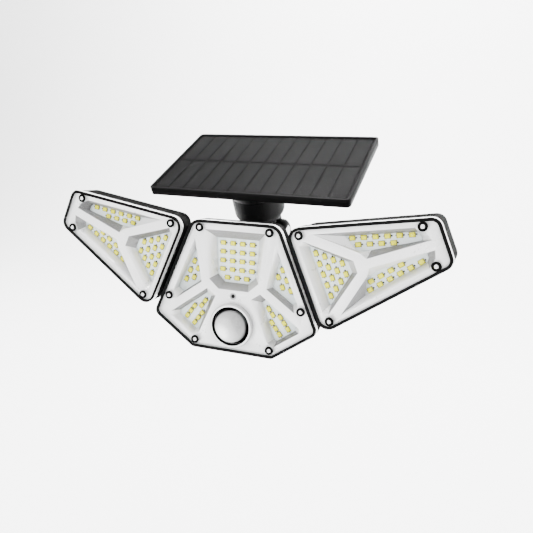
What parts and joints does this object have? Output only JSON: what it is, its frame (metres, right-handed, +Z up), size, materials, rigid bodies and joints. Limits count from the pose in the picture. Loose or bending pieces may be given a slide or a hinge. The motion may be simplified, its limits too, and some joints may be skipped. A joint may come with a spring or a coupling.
{
  "type": "motion sensor security light",
  "caption": "Wall-held solar security light: a motion-sensor lamp head with hinged LED wings on a tilting arm, under a solar panel that tips and swivels.",
  "frame": {"origin": "middle of the wall plate's back face, on the wall", "axes": "+Z up, -Y the way the light faces, +Y into the wall, +X to the right as seen from the front"},
  "size_m": [0.2474, 0.1296, 0.142],
  "materials": {
    "black_plastic": "satin moulded, finely textured",
    "reflector_silver": "metallised silver",
    "trim_silver": "satin silver",
    "clear_plastic": "clear and glossy",
    "black_rubber": "matt",
    "grey_rubber": "matt",
    "led_board": "pale solder mask",
    "led_chip": "yellow phosphor in a white case",
    "steel": "plain",
    "milky_plastic": "milky white",
    "panel_backing": "matt",
    "solar_cell": "dark grey silicon",
    "panel_glass": "clear laminate",
    "circuit_board": "green solder mask",
    "battery_wrap": "plain blue sleeve"
  },
  "bodies": {
    "bracket": {"wall_plate": "black_plastic", "bracket_arm": "black_plastic", "arm_screws": "steel", "lamp_tilt_bolt": "steel", "lamp_tilt_nut": "steel"},
    "turret": {"panel_turret": "black_plastic", "turret_washer": "steel", "turret_screw": "steel", "panel_tilt_bolt": "steel", "panel_tilt_nut": "steel"},
    "panel": {"panel_neck": "black_plastic", "panel_tray": "black_plastic", "panel_screws": "steel", "solar_backing": "panel_backing", "solar_cells": "solar_cell", "solar_cover": "panel_glass", "panel_gland": "black_plastic"},
    "lamp": {"center_housing": "black_plastic", "center_gasket": "black_rubber", "center_reflector": "reflector_silver", "center_lens": "clear_plastic", "center_bezel": "trim_silver", "center_led_board": "led_board", "center_leds": "led_chip", "center_screws": "steel", "center_screw_seals": "black_rubber", "pir_dome": "milky_plastic", "pir_ring": "trim_silver", "pir_sensor": "steel", "light_sensor": "black_plastic", "rear_gasket": "black_rubber", "rear_cover": "black_plastic", "rear_screws": "steel", "control_board": "circuit_board", "battery_holder": "black_plastic", "battery_cell": "battery_wrap", "lamp_gland": "black_plastic", "hinge_pin_left": "steel", "hinge_pin_right": "steel"},
    "left_wing": {"left_wing_housing": "black_plastic", "left_wing_gasket": "black_rubber", "left_wing_reflector": "reflector_silver", "left_wing_lens": "clear_plastic", "left_wing_bezel": "trim_silver", "left_wing_led_board": "led_board", "left_wing_leds": "led_chip", "left_wing_screws": "steel", "left_wing_screw_seals": "black_rubber"},
    "right_wing": {"right_wing_housing": "black_plastic", "right_wing_gasket": "black_rubber", "right_wing_reflector": "reflector_silver", "right_wing_lens": "clear_plastic", "right_wing_bezel": "trim_silver", "right_wing_led_board": "led_board", "right_wing_leds": "led_chip", "right_wing_screws": "steel", "right_wing_screw_seals": "black_rubber"},
    "button": {"mode_button": "grey_rubber"}
  },
  "joints": [
    {"name": "panel_swivel", "type": "hinge", "parent": "bracket", "child": "turret", "pos_m": [0, -0.0668, 0.0433], "axis": [0, 0, 1], "range_deg": [-21.2, 28.8]},
    {"name": "panel_tilt", "type": "hinge", "parent": "turret", "child": "panel", "pos_m": [0, -0.0668, 0.0433], "axis": [0.9978, -0.0663, 0], "range_deg": [-19.2, 6.8]},
    {"name": "lamp_tilt", "type": "hinge", "parent": "bracket", "child": "lamp", "pos_m": [0, -0.072, 0], "axis": [1, 0, 0], "range_deg": [0, 30]},
    {"name": "left_wing_fold", "type": "hinge", "parent": "lamp", "child": "left_wing", "pos_m": [-0.04281, -0.105, 0.02247], "axis": [-0.3932, 0, -0.9195], "range_deg": [-14, 43]},
    {"name": "right_wing_fold", "type": "hinge", "parent": "lamp", "child": "right_wing", "pos_m": [0.04281, -0.105, 0.02247], "axis": [-0.3932, 0, 0.9195], "range_deg": [-5.5, 51.5]},
    {"name": "mode_press", "type": "slide", "parent": "lamp", "child": "button", "axis": [0, -1, 0], "range_m": [0, 0.0012], "stiffness_N_per_m": 400, "springref_m": -0.0008}
  ]
}
